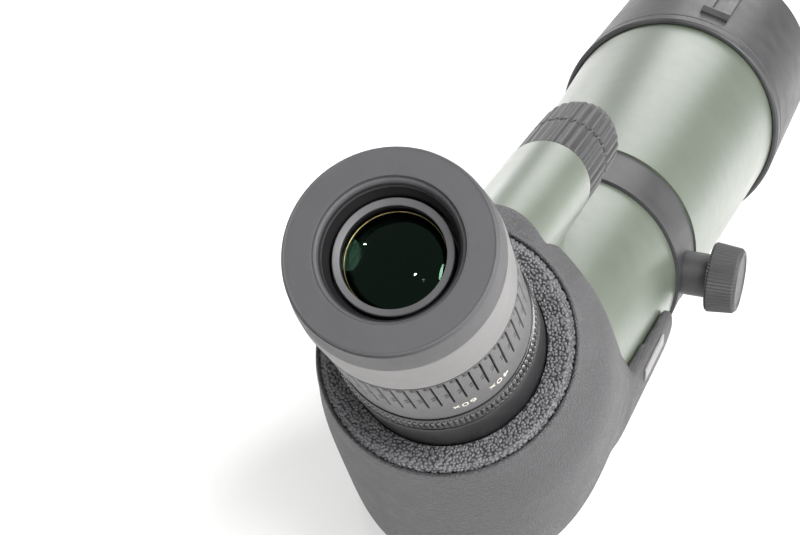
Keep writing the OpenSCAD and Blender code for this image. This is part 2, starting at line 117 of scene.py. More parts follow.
def mesh_from(name, points, faces):
    """A smooth-shaded mesh with its creases marked sharp."""
    mesh = bpy.data.meshes.new(name)
    mesh.from_pydata(points.tolist(), [], faces.tolist())
    mesh.polygons.foreach_set("use_smooth", [True] * len(mesh.polygons))
    mesh.set_sharp_from_angle(angle=SHARP)
    return mesh


def outline(corners, step=None, fine=lambda point: True):
    """A closed run of (radius, height) in metres from (radius, height, corner radius) in millimetres.
    It turns anticlockwise, so that faces look outwards. With a step, stretches with both ends in the fine
    part are divided by it."""
    run = []
    for k, corner in enumerate(corners):
        here = Vector(corner[:2])
        back = Vector(corners[k - 1][:2]) - here
        ahead = Vector(corners[(k + 1) % len(corners)][:2]) - here
        round_off = corner[2] if len(corner) > 2 else 0
        if not round_off:
            run.append(here)
            continue
        half = back.angle(ahead) / 2
        cut = min(round_off / math.tan(half), CORNER_SHARE * back.length, CORNER_SHARE * ahead.length)
        start = here + back.normalized() * cut
        end = here + ahead.normalized() * cut
        for i in range(CORNER_STEPS + 1):
            t = i / CORNER_STEPS
            run.append(start.lerp(here, t).lerp(here.lerp(end, t), t))
    area = sum(a.x * b.y - b.x * a.y for a, b in zip(run, run[1:] + run[:1]))
    if area < 0:
        run.reverse()
    if step:
        divided = []
        for a, b in zip(run, run[1:] + run[:1]):
            count = math.ceil((b - a).length / step) if fine(a) and fine(b) else 1
            divided += [a.lerp(b, i / count) for i in range(max(1, count))]
        run = divided
    return np.array([tuple(p) for p in run]) * MM


def turned(name, run, columns=COLUMNS, relief=None):
    """The mesh that an outline sweeps round Z. relief gives how far each point stands proud along the
    outline's normal, in millimetres, from its turn, radius, height and the normal's outward part."""
    ahead = np.roll(run, -1, 0) - np.roll(run, 1, 0)
    normal = np.stack([ahead[:, 1], -ahead[:, 0]], 1)
    normal /= np.linalg.norm(normal, axis=1, keepdims=True)
    turn = np.arange(columns)[None, :] * 2 * math.pi / columns
    radius = np.repeat(run[:, :1], columns, 1)
    height = np.repeat(run[:, 1:], columns, 1)
    if relief:
        proud = relief(turn, radius / MM, height / MM, normal[:, :1]) * MM
        radius = radius + proud * normal[:, :1]
        height = height + proud * normal[:, 1:]
    points = np.stack([radius * np.cos(turn), radius * np.sin(turn), height], -1).reshape(-1, 3)
    i = np.arange(len(run))[:, None]
    j = np.arange(columns)[None, :]
    i_next = (i + 1) % len(run)
    j_next = (j + 1) % columns
    ring = [i * columns + j, i * columns + j_next, i_next * columns + j_next, i_next * columns + j]
    mesh = mesh_from(name, points, np.stack(ring, -1).reshape(-1, 4))
    if run[:, 0].min() < ON_AXIS:
        weld(mesh)
    return mesh


def weld(mesh):
    """Merges the points that lie on each other, as where an outline meets its axis."""
    shape = bmesh.new()
    shape.from_mesh(mesh)
    bmesh.ops.remove_doubles(shape, verts=shape.verts, dist=SAME_POINT)
    shape.to_mesh(mesh)
    shape.free()


def piece(name, mesh, place, material, body, slot, *replaced):
    """Puts a mesh in the scene, on its body, with its material, and hides the CAD nodes that it stands for.
    """
    thing = bpy.data.objects.new(name, mesh)
    bpy.context.scene.collection.objects.link(thing)
    thing.matrix_world = place
    mesh.materials.clear()
    mesh.materials.append(material)
    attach(thing, body)
    if replaced:
        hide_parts(*replaced)


def evaluated_mesh(thing):
    """The object's mesh with its modifiers applied, and the object removed."""
    mesh = bpy.data.meshes.new_from_object(thing.evaluated_get(bpy.context.evaluated_depsgraph_get()))
    bpy.data.objects.remove(thing)
    return mesh


def below(corners):
    """Corners given as (radius, depth below the rim, corner radius), turned into heights."""
    return [(c[0], -c[1], *c[2:]) for c in corners]


def bump_at(distance, width):
    """1 at no distance, falling smoothly to 0 past a width."""
    return np.exp(-((distance / width) ** 2))


# ---------------------------------------------------------------- materials

# painted shade: the near-black that grooves, rib pockets and the hollows between pebbles darken to
PAINTED_SHADE_TONE = (0.004, 0.004, 0.004)
CONE_ROUNDING = 1.9  # width of the rounding past a cone's edge
CONE_DROP = 1.6  # how far that rounding falls


class Recipe:
    """One procedural material. Sizes are in millimetres, in the piece's own axes."""

    def __init__(self, name, **sockets):
        self.material = bpy.data.materials.new(name)
        self.material.use_nodes = True
        self.tree = self.material.node_tree
        self.shader = self.tree.nodes["Principled BSDF"]
        for socket, value in sockets.items():
            self.shader.inputs[socket.replace("_", " ")].default_value = value
        coordinates = self.tree.nodes.new("ShaderNodeTexCoord").outputs["Object"]
        self.place = self.node("ShaderNodeVectorMath", {0: coordinates, "Scale": 1 / MM}, operation="SCALE")

    def node(self, kind, inputs, output=0, **settings):
        made = self.tree.nodes.new(kind)
        for setting, value in settings.items():
            setattr(made, setting, value)
        for socket, value in inputs.items():
            if isinstance(value, bpy.types.NodeSocket):
                self.tree.links.new(value, made.inputs[socket])
            else:
                made.inputs[socket].default_value = value
        return made.outputs[output]

    def noise(self, size, detail=3.0, stretch=None):
        """Cloudy noise from 0 to 1, with blotches of that size; stretch squeezes the axes."""
        place = self.place
        if stretch:
            place = self.node("ShaderNodeMapping", {"Vector": place, "Scale": stretch})
        return self.node("ShaderNodeTexNoise", {"Vector": place, "Scale": 1 / size, "Detail": detail})

    def cells(self, size, feature="F1"):
        return self.node("ShaderNodeTexVoronoi", {"Vector": self.place, "Scale": 1 / size}, feature=feature)

    def off_axis(self):
        """Distance from the piece's own Z axis."""
        flat = self.node("ShaderNodeVectorMath", {0: self.place, 1: (1, 1, 0)}, operation="MULTIPLY")
        return self.node("ShaderNodeVectorMath", {0: flat}, "Value", operation="LENGTH")

    def above_cone(self, slope, edge):
        """Height less slope times the distance from the Z axis, and raised past the cone's edge."""
        height = self.node("ShaderNodeSeparateXYZ", {0: self.place}, "Z")
        past = self.spread(self.off_axis(), edge, edge + CONE_ROUNDING)
        return self.sum((height, 1.0), (self.off_axis(), -slope), (past, CONE_DROP))

    def with_painted_shade(self, colour, level, low, high):
        """The colour, darkening to a painted shade where level falls from high to low."""
        return self.tones(self.spread(level, low, high), PAINTED_SHADE_TONE, colour)

    def spread(self, value, low, high, to_low=0.0, to_high=1.0):
        """value from low to high, stretched to to_low to to_high and held there."""
        inputs = {"Value": value, "From Min": low, "From Max": high, "To Min": to_low, "To Max": to_high}
        return self.node("ShaderNodeMapRange", inputs)

    def sum(self, *terms):
        """The terms added up, each as (value, factor)."""
        total = 0.0
        for value, factor in terms:
            inputs = {0: value, 1: factor, 2: total}
            total = self.node("ShaderNodeMath", inputs, operation="MULTIPLY_ADD")
        return total

    def tones(self, share, low, high):
        """A colour between two, by share."""
        made = self.tree.nodes.new("ShaderNodeMix")
        made.data_type = "RGBA"
        self.tree.links.new(share, made.inputs["Factor"])
        for socket, colour in ((6, low), (7, high)):
            if isinstance(colour, bpy.types.NodeSocket):
                self.tree.links.new(colour, made.inputs[socket])
            else:
                made.inputs[socket].default_value = (*colour, 1)
        return made.outputs[2]

    def finish(self, colour=None, roughness=None, height=None):
        """Links what is given to the shader. height is in millimetres."""
        if colour:
            self.tree.links.new(colour, self.shader.inputs["Base Color"])
        if roughness:
            self.tree.links.new(roughness, self.shader.inputs["Roughness"])
        if height:
            bump = self.node("ShaderNodeBump", {"Height": height, "Distance": MM, "Strength": 1.0})
            self.tree.links.new(bump, self.shader.inputs["Normal"])
        return self.material


def green_paint():
    """Satin paint with a fine orange peel and a few faint cloudy patches."""
    m = Recipe("green_paint", Specular_IOR_Level=0.9, Coat_Weight=0.9, Coat_Roughness=0.34, Coat_IOR=1.65)
    cloud = m.noise(28, 4)
    peel = m.noise(0.7, 2)
    colour = m.tones(m.spread(cloud, 0.35, 0.65), (0.052, 0.07, 0.043), (0.062, 0.08, 0.053))
    roughness = m.spread(m.noise(6, 4), 0.3, 0.7, 0.42, 0.5)
    return m.finish(colour, roughness, m.sum((peel, 0.012), (m.noise(0.18, 1), 0.003)))


def rubber(name, dark, light, grain, depth, rough, gloss=0.42, grooves=None):
    """Moulded rubber: a grain of soft cells, finer noise in it, and dusty patches. grooves is the range of
    radius in which a painted shade darkens it, for the shade at the bottom of the grooves."""
    m = Recipe(name, Specular_IOR_Level=gloss)
    dust = m.spread(m.noise(9, 5), 0.3, 0.72)
    cell = m.spread(m.cells(grain, "DISTANCE_TO_EDGE"), 0.0, 0.28)
    fine = m.spread(m.noise(grain / 1.8, 4), 0.25, 0.75)
    shade = m.sum((dust, 0.3), (cell, 0.35), (fine, 0.35))
    colour = m.tones(shade, dark, light)
    # painted shade: darker colour towards the bottom of the grooves, where shade falls
    if grooves:
        colour = m.with_painted_shade(colour, m.off_axis(), *grooves)
    roughness = m.spread(m.sum((dust, 0.5), (fine, 0.5)), 0.2, 0.8, rough - 0.07, rough + 0.09)
    return m.finish(colour, roughness, m.sum((cell, depth), (fine, depth * 0.7)))


def pebbled_rubber(name, slope, edge, floor, crest):
    """Coarse-moulded rubber: pale pebbles, with painted shade darkening the hollows between them, on a cone
    of that slope and edge.
    """
    m = Recipe(name, Specular_IOR_Level=0.42)
    dust = m.spread(m.noise(5, 5), 0.3, 0.72)
    fine = m.noise(0.12, 3)
    colour = m.tones(m.sum((dust, 0.6), (fine, 0.4)), (0.078, 0.078, 0.082), (0.13, 0.13, 0.136))
    # painted shade: darker below the crests, in the hollows between the pebbles
    colour = m.with_painted_shade(colour, m.above_cone(slope, edge), floor, crest)
    roughness = m.spread(m.sum((dust, 0.5), (fine, 0.5)), 0.2, 0.8, 0.4, 0.56)
    return m.finish(colour, roughness, m.sum((fine, 0.02)))


def moulded_plastic(name, dark, light, smooth=0.38, gloss=0.5, grooves=None):
    """Dark satin plastic with a spark-eroded grain. grooves is the range of radius in which a painted shade
    darkens it, for the shade between ribs."""
    m = Recipe(name, Specular_IOR_Level=gloss)
    spark = m.noise(0.22, 2)
    cloud = m.spread(m.noise(11, 5), 0.3, 0.7)
    colour = m.tones(m.sum((cloud, 0.7), (spark, 0.3)), dark, light)
    # painted shade: darker where the radius is low, between the ribs
    if grooves:
        colour = m.with_painted_shade(colour, m.off_axis(), *grooves)
    roughness = m.spread(m.sum((cloud, 0.6), (spark, 0.4)), 0.2, 0.8, smooth, smooth + 0.14)
    return m.finish(colour, roughness, m.sum((spark, 0.014), (m.noise(0.6, 2), 0.008)))


def black_anodised():
    """Black anodised alloy, bead blasted, with faint cloudy patches."""
    m = Recipe("black_anodised", Metallic=0.35, Specular_IOR_Level=0.5)
    blast = m.noise(0.16, 2)
    cloud = m.spread(m.noise(7, 4), 0.3, 0.7)
    colour = m.tones(m.sum((cloud, 0.6), (blast, 0.4)), (0.009, 0.009, 0.01), (0.018, 0.018, 0.019))
    roughness = m.spread(m.sum((cloud, 0.5), (blast, 0.5)), 0.2, 0.8, 0.32, 0.46)
    return m.finish(colour, roughness, m.sum((blast, 0.006)))


def cast_housing():
    """Matt black cast alloy with a sand-cast skin."""
    m = Recipe("cast_housing", Metallic=0.2)
    sand = m.noise(0.8, 5)
    cloud = m.spread(m.noise(8, 4), 0.3, 0.7)
    colour = m.tones(m.sum((cloud, 0.6), (sand, 0.4)), (0.008, 0.008, 0.008), (0.02, 0.02, 0.021))
    roughness = m.spread(sand, 0.2, 0.8, 0.6, 0.85)
    return m.finish(colour, roughness, m.sum((sand, 0.08), (m.cells(1.4), 0.04)))


def turned_metal(name, dark, light, rough):
    """Machined metal: fine tool lines, stains and a soft variation of gloss."""
    m = Recipe(name, Metallic=1.0)
    lines = m.noise(0.5, 2, (0.15, 1.0, 6.0))
    stain = m.spread(m.noise(5, 5), 0.3, 0.72)
    colour = m.tones(m.sum((stain, 0.7), (lines, 0.3)), dark, light)
    roughness = m.spread(m.sum((stain, 0.4), (lines, 0.6)), 0.2, 0.8, rough - 0.08, rough + 0.1)
    return m.finish(colour, roughness, m.sum((lines, 0.006)))


def satin_plate():
    """A pale plate, brushed along its length, with a slightly darker dusty film."""
    m = Recipe("satin_plate", Metallic=0.6)
    brushed = m.noise(0.25, 3, (1.0, 0.04, 1.0))
    film = m.spread(m.noise(6, 4), 0.3, 0.7)
    colour = m.tones(m.sum((film, 0.5), (brushed, 0.5)), (0.19, 0.185, 0.185), (0.28, 0.27, 0.27))
    roughness = m.spread(brushed, 0.25, 0.75, 0.3, 0.46)
    return m.finish(colour, roughness, m.sum((brushed, 0.01)))


def coated_glass_painted_dark():
    """Optical glass, its colour darkened as painted shade for the dark inside of the scope, with specks of
    dust. Its coatings leave a weak green reflection, so its index is set low."""
    m = Recipe("coated_glass_painted_dark", Transmission_Weight=1.0, IOR=1.35, Specular_IOR_Level=0.01)
    m.shader.inputs["Specular Tint"].default_value = (0.52, 1.0, 0.7, 1)
    speck = m.spread(m.cells(0.9), 0.0, 0.06, 1.0, 0.0)
    smear = m.spread(m.noise(4, 3), 0.45, 0.75)
    # painted shade: the glass's colour is kept dark to stand for the shade inside the scope
    colour = m.tones(m.sum((smear, 0.7), (speck, 0.3)), (0.06, 0.075, 0.07), (0.045, 0.062, 0.056))
    roughness = m.sum((speck, 0.25), (smear, 0.01))
    return m.finish(colour, roughness)


def marking_paint():
    """Warm white paint filled into a marking, slightly uneven."""
    m = Recipe("marking_paint", Specular_IOR_Level=0.4)
    wear = m.spread(m.noise(0.5, 4), 0.35, 0.7)
    colour = m.tones(wear, (0.6, 0.56, 0.46), (0.8, 0.76, 0.66))
    return m.finish(colour, m.spread(wear, 0, 1, 0.45, 0.6), m.sum((wear, 0.01)))


def floor_paint():
    """Plain pale floor with a barely visible unevenness."""
    m = Recipe("floor_paint", Specular_IOR_Level=0.2)
    cloud = m.spread(m.noise(160, 3), 0.3, 0.7)
    colour = m.tones(cloud, (0.79, 0.787, 0.782), (0.815, 0.812, 0.808))
    return m.finish(colour, m.spread(cloud, 0, 1, 0.6, 0.7), m.sum((m.noise(1.5, 2), 0.01)))


GRIP_TONES = ((0.056, 0.0545, 0.057), (0.078, 0.0765, 0.079))
FINISHES = {
    "green_paint": green_paint(),
    "armour_rubber": rubber("armour_rubber", (0.003, 0.0028, 0.0032), (0.088, 0.085, 0.091), 0.9, 0.3, 0.46),
    "pebble_rubber": rubber("pebble_rubber", (0.03, 0.03, 0.032), (0.06, 0.06, 0.064), 0.3, 0.02, 0.46),
    "grip_rubber": rubber("grip_rubber", *GRIP_TONES, 0.3, 0.012, 0.48),
    "cup_rubber": rubber("cup_rubber", (0.036, 0.036, 0.038), (0.056, 0.056, 0.0595), 0.24, 0.02, 0.5),
    "seal_rubber": rubber("seal_rubber", (0.008, 0.008, 0.009), (0.014, 0.014, 0.015), 0.5, 0.02, 0.5),
    "dark_plastic": moulded_plastic("moulded_plastic", (0.022, 0.0216, 0.023), (0.037, 0.0362, 0.0382)),
    "black_anodised": black_anodised(),
    "cast_housing": cast_housing(),
    "cell_alloy": turned_metal("cell_alloy", (0.2, 0.2, 0.21), (0.32, 0.32, 0.33), 0.34),
    "brass": turned_metal("brass", (0.46, 0.33, 0.14), (0.72, 0.55, 0.27), 0.3),
    "steel": turned_metal("steel", (0.4, 0.4, 0.41), (0.63, 0.63, 0.64), 0.28),
    "plate": satin_plate(),
    "optical_glass": coated_glass_painted_dark(),
}
# painted shade: a darker copy of the cup's rubber for the deep funnel, which the light hardly reaches
SHADED_FUNNEL_TONES = ((0.007, 0.007, 0.0074), (0.014, 0.0138, 0.0147))
SHADED_FUNNEL_RUBBER = rubber("funnel_rubber_painted_shade", *SHADED_FUNNEL_TONES, 0.24, 0.016, 0.6, 0.1)
PALE_PLASTIC = moulded_plastic("sleeve_plastic", (0.108, 0.104, 0.103), (0.137, 0.133, 0.131))
RING_PLASTIC = moulded_plastic("eye_ring_plastic", (0.052, 0.051, 0.054), (0.072, 0.071, 0.0745))
SCALE_PLASTIC = moulded_plastic("scale_ring_plastic", (0.042, 0.041, 0.043), (0.058, 0.0565, 0.0595))
WHITE = marking_paint()

for part in frame["record"]["subparts"]:
    for material_slot in nodes[part["node"]].material_slots:
        material_slot.material = FINISHES[part["material_slot"]]

# ---------------------------------------------------------------- eyecup


def eyecup():
    """Soft cup: a flat rim with a thin bead near its edge, a lipped opening, a funnel to the lens in rubber
    painted darker as shade, and the paler sleeve under the rubber."""
    radius = reach("eyecup_rubber", EYE)[2]
    rim = radius - 1.2
    corners = below([
        (18.5, 0.1, 0.15), (rim - 1.1, 0.1, 0.1), (rim - 0.8, 0.0, 0.12), (rim - 0.4, 0.12, 0.15),
        (rim - 0.35, 0.45, 0.1), (rim - 0.9, 0.75, 0.1), (rim - 0.9, 1.05, 0.1), (rim - 0.05, 1.4, 0.2),
        (radius - 0.7, 5.5, 3.0), (radius - 0.3, 8.8, 0.3), (16.6, 8.8), (16.8, 2.6), (17.6, 1.3, 0.2),
        (18.25, 1.1, 0.2),
    ])
    mesh = turned("eyecup_skin", outline(corners, 0.6))
    piece("eyecup_skin", mesh, EYE, FINISHES["cup_rubber"], "eyecup", "cup_rubber", "eyecup_rubber")
    # the funnel, in the cup's rubber painted darker as shade
    corners = below([(16.85, 2.0), (17.5, 1.75, 0.1), (15.65, 6.1, 0.3), (15.55, 9.35), (16.85, 9.35)])
    mesh = turned("eyecup_funnel", outline(corners, 0.5))
    piece("eyecup_funnel", mesh, EYE, SHADED_FUNNEL_RUBBER, "eyecup", "cup_rubber")
    base = reach("zoom_grip", EYE)[2] - 0.05
    corners = below([
        (17.0, 8.9), (radius - 0.32, 8.9, 0.15), (radius, 14.0, 3.0), (base, 27.1, 0.25), (22.9, 27.1, 0.1),
        (22.9, 11.4), (15.5, 11.4), (15.5, 9.5), (17.0, 9.5),
    ])
    mesh = turned("eyecup_band", outline(corners, 1.0))
    piece("eyecup_band", mesh, EYE, PALE_PLASTIC, "eyecup", "dark_plastic", "eyecup_sleeve")


def eye_ring():
    """The face of the eye lens's cell, coned in to the lens, and the thin bright spacer round the lens."""
    top = reach("eye_lens_cell", EYE)[1]
    corners = [
        (13.0, top - 0.4, 0.12), (14.65, top + 0.04, 0.12), (14.88, top - 0.25, 0.1), (14.9, top - 1.2),
        (14.5, top - 1.3), (13.0, top - 1.3),
    ]
    mesh = turned("eye_ring_face", outline(corners, 0.4))
    piece("eye_ring_face", mesh, EYE, RING_PLASTIC, "scope_body", "black_anodised")
    corners = below([(12.56, 9.5, 0.03), (12.66, 9.36, 0.03), (12.85, 9.75), (12.52, 9.75)])
    mesh = turned("eye_lens_spacer", outline(corners, 0.2))
    piece("eye_lens_spacer", mesh, EYE, FINISHES["brass"], "scope_body", "brass")


eyecup()
eye_ring()

# ---------------------------------------------------------------- zoom ring

GRIP_REPEATS = 50
GRIP_COLUMNS = 20  # points round each repeat
GRIP_LINE = 0.17  # half width of a moulded line
GRIP_DEPTH = 0.8
GRIP_START = 0.6  # where the first line stands, as a share of a repeat
SKIN = 1.0  # relief and fine division stay within this depth of a ring's outside
BARREL_GAP = 0.08


def near_segment(u, v, start, end):
    """Distance of points (u, v) from a straight stroke."""
    along = Vector(end) - Vector(start)
    share = ((u - start[0]) * along.x + (v - start[1]) * along.y) / along.length_squared
    share = np.clip(share, 0, 1)
    return np.hypot(u - start[0] - share * along.x, v - start[1] - share * along.y)


def grip_relief(top, radius):
    """Fine grooves round the grip: in each repeat a long line with a loop at its top, and two short dashes.
    A stroke is its width, start and end; across the grip it is measured along the round."""
    pitch = 2 * math.pi * radius / GRIP_REPEATS
    strokes = [
        (1.2, (0.0, -1.4), (0.0, -19.4)),
        (1.6, (0.0, -1.4), (-0.4, -0.8)), (1.6, (-0.4, -0.8), (-1.35, -0.8)),
        (1.6, (-1.35, -0.8), (-1.6, -1.5)), (1.6, (-1.6, -1.5), (-1.3, -2.2)),
        (1.6, (-1.3, -2.2), (-0.7, -2.2)),
        (2.0, (-0.55, -10.4), (-1.1, -10.8)), (2.0, (-0.55, -12.4), (-1.1, -12.8)),
    ]

    def relief(turn, r, z, outward):
        u = (turn * radius / pitch % 1.0 - GRIP_START) * pitch
        v = z - top
        depth = np.zeros(np.broadcast(u, v).shape)
        for width, start, end in strokes:
            depth = np.maximum(depth, bump_at(near_segment(u, v, start, end), width * GRIP_LINE))
        return -GRIP_DEPTH * depth * (outward > 0.5) * (r > radius - SKIN)

    return relief


def zoom_ring():
    low, high, radius = reach("zoom_grip", EYE)
    corners = [(radius - 2.05, low), (radius, low, 0.35), (radius, high, 0.35), (radius - 2.05, high)]
    relief = grip_relief(high, radius)
    run = outline(corners, 0.25, lambda point: point.x > radius - SKIN)
    mesh = turned("zoom_grip_skin", run, GRIP_REPEATS * GRIP_COLUMNS, relief)
    # painted shade: the grip rubber darkens towards the bottom of its moulded lines
    finish = rubber("grip_skin_rubber_painted_shade", *GRIP_TONES, 0.3, 0.012, 0.48, 0.42, (radius - 0.42, radius - 0.1))
    piece("zoom_grip_skin", mesh, EYE, finish, "zoom_control", "grip_rubber", "zoom_grip")
    barrel = reach("eyepiece_barrel", EYE)[2] + BARREL_GAP
    corners = below([
        (barrel, 27.7, 0.2), (25.0, 27.7, 0.2), (25.0, 48.15), (26.8, 48.15, 0.2), (26.95, 59.7, 0.2),
        (26.6, 59.95, 0.1), (barrel, 59.95, 0.2), (barrel, 56.0), (22.7, 56.0), (22.7, 30.6), (barrel, 30.6),
    ])
    mesh = turned("zoom_scale_ring", outline(corners, 1.0))
    piece("zoom_scale_ring", mesh, EYE, SCALE_PLASTIC, "zoom_control", "dark_plastic", "zoom_ring")


zoom_ring()


# ---------------------------------------------------------------- markings

SCALE_RADIUS = 26.86
SCALE_DEPTH = -52.9  # height of the numbers' middle
MARK_HEIGHT = 3.0
MARK_THICK = 0.05
MARK_THINNING = 0.05
DIGIT_SHARE = 0.7  # a digit's height as a share of the font's size
LONG_EDGE = 0.5
INDEX_ANGLE = 131
POWERS = {"60x": 41, "40x": 64, "20x": 131}  # degrees round from the underside


def power_mark(power, angle):
    """A power bent round the scale ring; its top points to the base."""
    name = f"power_mark_{power}"
    curve = bpy.data.curves.new(name, "FONT")
    curve.body = power
    curve.size = MARK_HEIGHT / DIGIT_SHARE
    curve.align_x = "CENTER"
    curve.align_y = "CENTER"
    curve.extrude = MARK_THICK / 2
    curve.space_character = 1.12
    curve.offset = -MARK_THINNING
    curve.resolution_u = 6
    letter = bpy.data.objects.new(name + "_text", curve)
    bpy.context.scene.collection.objects.link(letter)
    bpy.context.view_layer.update()
    mesh = evaluated_mesh(letter)
    mesh.name = name
    shape = bmesh.new()
    shape.from_mesh(mesh)
    bmesh.ops.triangulate(shape, faces=shape.faces)
    long_edges = [e for e in shape.edges if e.calc_length() > LONG_EDGE]
    bmesh.ops.subdivide_edges(shape, edges=long_edges, cuts=1)
    centre = math.radians(angle - 90)
    for vertex in shape.verts:
        x, y, z = vertex.co
        turn = centre - x / SCALE_RADIUS
        r = SCALE_RADIUS + z + MARK_THICK / 2
        vertex.co = Vector((r * math.cos(turn), r * math.sin(turn), SCALE_DEPTH - y)) * MM
    bmesh.ops.recalc_face_normals(shape, faces=shape.faces)
    shape.to_mesh(mesh)
    shape.free()
    piece(name, mesh, EYE, WHITE, "zoom_control", "plate")


for power, angle in POWERS.items():
    power_mark(power, angle)

# ---------------------------------------------------------------- lock ring and eyepiece base

LOCK_RIBS = 112
RIB_COLUMNS = 10
RIB_HEIGHT = 0.6
RIB_SHARE = 0.86  # a rib's width as a share of its pitch
RIB_ENDS = (1.35, 1.3)  # where a rib's straight stretch stops, from the ring's lower and upper edge
BASE_FLANGE = 18.4
DOT_PLACE = (0.06, 2.2)  # the dot's depth in the flange, and its distance below the flange's top


def lock_ring():
    """A ring of rounded ribs with ball ends, between two thin lips."""
    low, high, radius = reach("eyepiece_lock_ring", EYE)
    barrel = reach("eyepiece_barrel", EYE)[2] + BARREL_GAP
    floor = radius - RIB_HEIGHT
    corners = [
        (barrel, low), (radius - 0.4, low, 0.15), (radius - 0.25, low + 0.35, 0.12), (floor, low + 0.5, 0.1),
        (floor, high - 0.7, 0.1), (radius - 0.5, high - 0.5, 0.12), (radius - 0.9, high - 0.05, 0.15),
        (barrel, high - 0.05),
    ]
    half = math.pi * radius / LOCK_RIBS * RIB_SHARE

    def relief(turn, r, z, outward):
        off = ((turn * LOCK_RIBS / (2 * math.pi) + 0.5) % 1 - 0.5) * 2 * math.pi * radius / LOCK_RIBS
        past = np.maximum(0, low + RIB_ENDS[0] - z) + np.maximum(0, z - high + RIB_ENDS[1])
        dome = np.sqrt(np.clip(1 - (off ** 2 + past ** 2) / half ** 2, 0, 1))
        return RIB_HEIGHT * dome * (outward > 0.9) * (r < floor + 0.05) * (r > radius - 2)

    run = outline(corners, 0.22, lambda point: point.x > radius - SKIN)
    mesh = turned("lock_ring_ribbed", run, LOCK_RIBS * RIB_COLUMNS, relief)
    # painted shade: darker between the ribs, where the radius falls to the ring's floor
    tones = ((0.017, 0.017, 0.018), (0.028, 0.028, 0.029))
    finish = moulded_plastic("lock_ring_plastic_painted_shade", *tones, 0.18, 0.8, (floor + 0.08, radius - 0.12))
    piece("lock_ring_ribbed", mesh, EYE, finish, "eyepiece_lock", "dark_plastic", "eyepiece_lock_ring")


def eyepiece_base():
    """The smooth black flange with a thin raised edge, and the zoom scale's index dot on it."""
    low, high, radius = reach("eyepiece_base", EYE)
    barrel = reach("eyepiece_barrel", EYE)[2] + 0.06
    corners = [
        (barrel, low), (25.0, low), (25.0, high - BASE_FLANGE), (radius, high - BASE_FLANGE, 0.2),
        (radius - 0.1, high - 0.9, 0.1), (radius - 0.3, high - 0.75, 0.08), (radius - 0.3, high - 0.6, 0.08),
        (radius + 0.02, high - 0.45, 0.12), (radius - 0.2, high - 0.05, 0.12), (radius - 0.6, high, 0.12),
        (barrel, high),
    ]
    mesh = turned("eyepiece_base_turned", outline(corners, 1.0))
    piece("eyepiece_base_turned", mesh, EYE, FINISHES["black_anodised"], "scope_body", "black_anodised",
          "eyepiece_base")
    dot = [(0.0, -0.2), (0.6, -0.2), (0.6, 0.06, 0.06), (0.0, 0.1)]
    turn = Matrix.Rotation(math.radians(INDEX_ANGLE - 90), 4, "Z")
    move = Matrix.Translation(Vector((radius - DOT_PLACE[0], 0, high - DOT_PLACE[1])) * MM)
    spot = EYE @ turn @ move @ Matrix.Rotation(math.pi / 2, 4, "Y")
    piece("index_dot", turned("index_dot", outline(dot), 32), spot, WHITE, "scope_body", "plate")


lock_ring()
eyepiece_base()

# ---------------------------------------------------------------- port ring

PEBBLE_PITCH = 0.9
PEBBLE_HEIGHT = 0.42
PEBBLE_JITTER = 0.38
PEBBLE_SIZES = (0.36, 0.58)
PEBBLE_SEED = 7
PEBBLE_MARGIN = 0.2  # bare edge inside the pebbles
PEBBLE_DROP = 0.7  # how far below the face's inner edge they go on the outside
PORT_COLUMNS = 1280
PORT_IN, PORT_CREST, PORT_OUT = (28.6, -85.8), (34.6, -83.7), (36.3, -84.7)  # the face's radii and heights
PORT_FLOOR = -87.8
PORT_ROUND = 0.2  # how far before its crest the face starts to round off
PORT_SLOPE = (PORT_CREST[1] - PORT_IN[1]) / (PORT_CREST[0] - PORT_IN[0])
PORT_FACE = PORT_IN[1] - PORT_SLOPE * PORT_IN[0]  # where the ring's conical face would meet its axis
FACE_WIDTH = 12  # width of the scattered band of pebbles
FACE_MIDDLE = 32.5
FACE_EDGE = 37.5  # radius from which the band is measured inwards


def pebble_relief(turn, r, z, outward):
    """Round pebbles scattered evenly over the ring's face."""
    generator = np.random.default_rng(PEBBLE_SEED)
    width = 2 * math.pi * FACE_MIDDLE
    rows, columns = int(FACE_WIDTH / PEBBLE_PITCH), int(width / PEBBLE_PITCH)
    v, u = np.mgrid[0:rows, 0:columns].astype(float)
    u = (u + 0.5 * (v % 2) + generator.uniform(-PEBBLE_JITTER, PEBBLE_JITTER, u.shape)) * width / columns
    v = (v + generator.uniform(-PEBBLE_JITTER, PEBBLE_JITTER, v.shape)) * PEBBLE_PITCH
    size = generator.uniform(*PEBBLE_SIZES, u.shape)
    tree = kdtree.KDTree(u.size)
    for k, (a, b) in enumerate(zip(u.ravel(), v.ravel())):
        tree.insert((a, b, 0), k)
    tree.balance()
    across = np.broadcast_to(turn / (2 * math.pi) * width, r.shape)
    fallen = np.maximum(0, PORT_CREST[1] - PORT_ROUND - z) * (r > PORT_CREST[0])
    along = FACE_EDGE - r - fallen
    proud = np.zeros(r.shape)
    sizes = size.ravel()
    bare = (outward > 0.95) | (r < PORT_IN[0] + PEBBLE_MARGIN) | (z < PORT_IN[1] - PEBBLE_DROP)
    for index in np.ndindex(r.shape):
        if bare[index]:
            continue
        _, k, distance = tree.find((across[index], along[index], 0))
        proud[index] = PEBBLE_HEIGHT * math.sqrt(max(0.0, 1 - (distance / sizes[k]) ** 2))
    return proud


